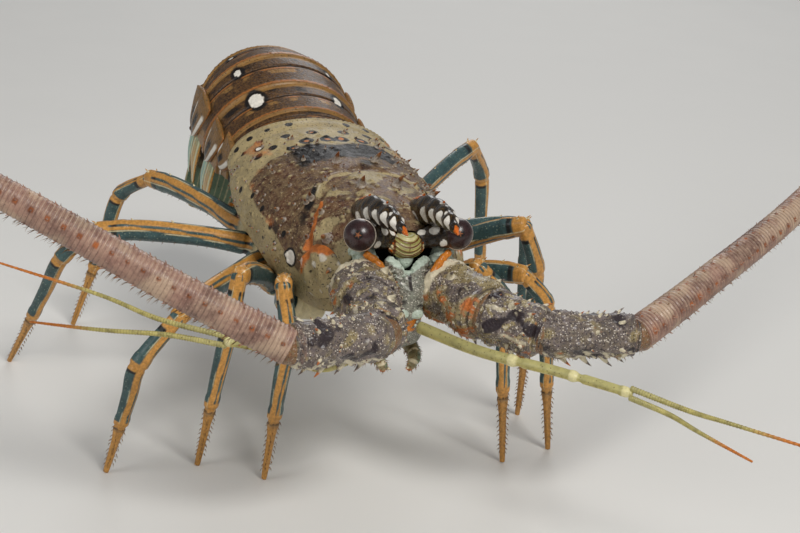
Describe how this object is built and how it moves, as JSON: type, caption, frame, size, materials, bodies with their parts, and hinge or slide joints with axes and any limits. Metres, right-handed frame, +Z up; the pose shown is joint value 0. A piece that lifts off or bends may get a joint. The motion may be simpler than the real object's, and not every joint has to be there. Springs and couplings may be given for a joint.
{
  "type": "spiny lobster",
  "caption": "Life-size still model of a spiny lobster standing with its long antennae spread and its tail arched, for display.",
  "frame": {"origin": "on the floor below the middle of the model's box", "axes": "+X the animal's left, -Y its front, +Z up"},
  "size_m": [0.613, 0.2542, 0.1627],
  "materials": {
    "shell": "satin, speckled dark brown shell with a pale side",
    "underside": "satin, pale green and cream",
    "eye": "polished, near black",
    "horn": "satin, banded black and white",
    "antenna": "satin, speckled grey purple",
    "lash": "satin, ringed pinkish brown",
    "thread": "satin, yellow green",
    "leg": "satin, striped yellow orange and blue green",
    "tail": "satin, dark brown with golden bands",
    "fan": "satin, brown with a pale edge"
  },
  "bodies": {
    "root": {"carapace": "shell", "sternum": "underside", "antennular_plate": "underside", "eye_right": "eye", "eyestalk_right": "horn", "horn_right": "horn", "maxilliped_right": "underside", "antenna_base_right": "antenna", "antenna_middle_right": "antenna", "antenna_outer_right": "antenna", "antenna_lash_first_right": "lash", "antenna_lash_second_right": "lash", "antenna_lash_third_right": "lash", "antennule_right": "thread", "antennule_upper_right": "thread", "antennule_lower_right": "thread", "leg_1_upper_right": "leg", "leg_1_lower_right": "leg", "leg_2_upper_right": "leg", "leg_2_lower_right": "leg", "leg_3_upper_right": "leg", "leg_3_lower_right": "leg", "leg_4_upper_right": "leg", "leg_4_lower_right": "leg", "leg_5_upper_right": "leg", "leg_5_lower_right": "leg", "eye_left": "eye", "eyestalk_left": "horn", "horn_left": "horn", "maxilliped_left": "underside", "antenna_base_left": "antenna", "antenna_middle_left": "antenna", "antenna_outer_left": "antenna", "antenna_lash_first_left": "lash", "antenna_lash_second_left": "lash", "antenna_lash_third_left": "lash", "antennule_left": "thread", "antennule_upper_left": "thread", "antennule_lower_left": "thread", "leg_1_upper_left": "leg", "leg_1_lower_left": "leg", "leg_2_upper_left": "leg", "leg_2_lower_left": "leg", "leg_3_upper_left": "leg", "leg_3_lower_left": "leg", "leg_4_upper_left": "leg", "leg_4_lower_left": "leg", "leg_5_upper_left": "leg", "leg_5_lower_left": "leg", "abdomen_1": "tail", "abdomen_2": "tail", "abdomen_3": "tail", "abdomen_4": "tail", "abdomen_5": "tail", "abdomen_6": "tail", "telson": "fan", "uropod_inner_right": "fan", "uropod_outer_right": "fan", "uropod_inner_left": "fan", "uropod_outer_left": "fan"}
  },
  "joints": []
}
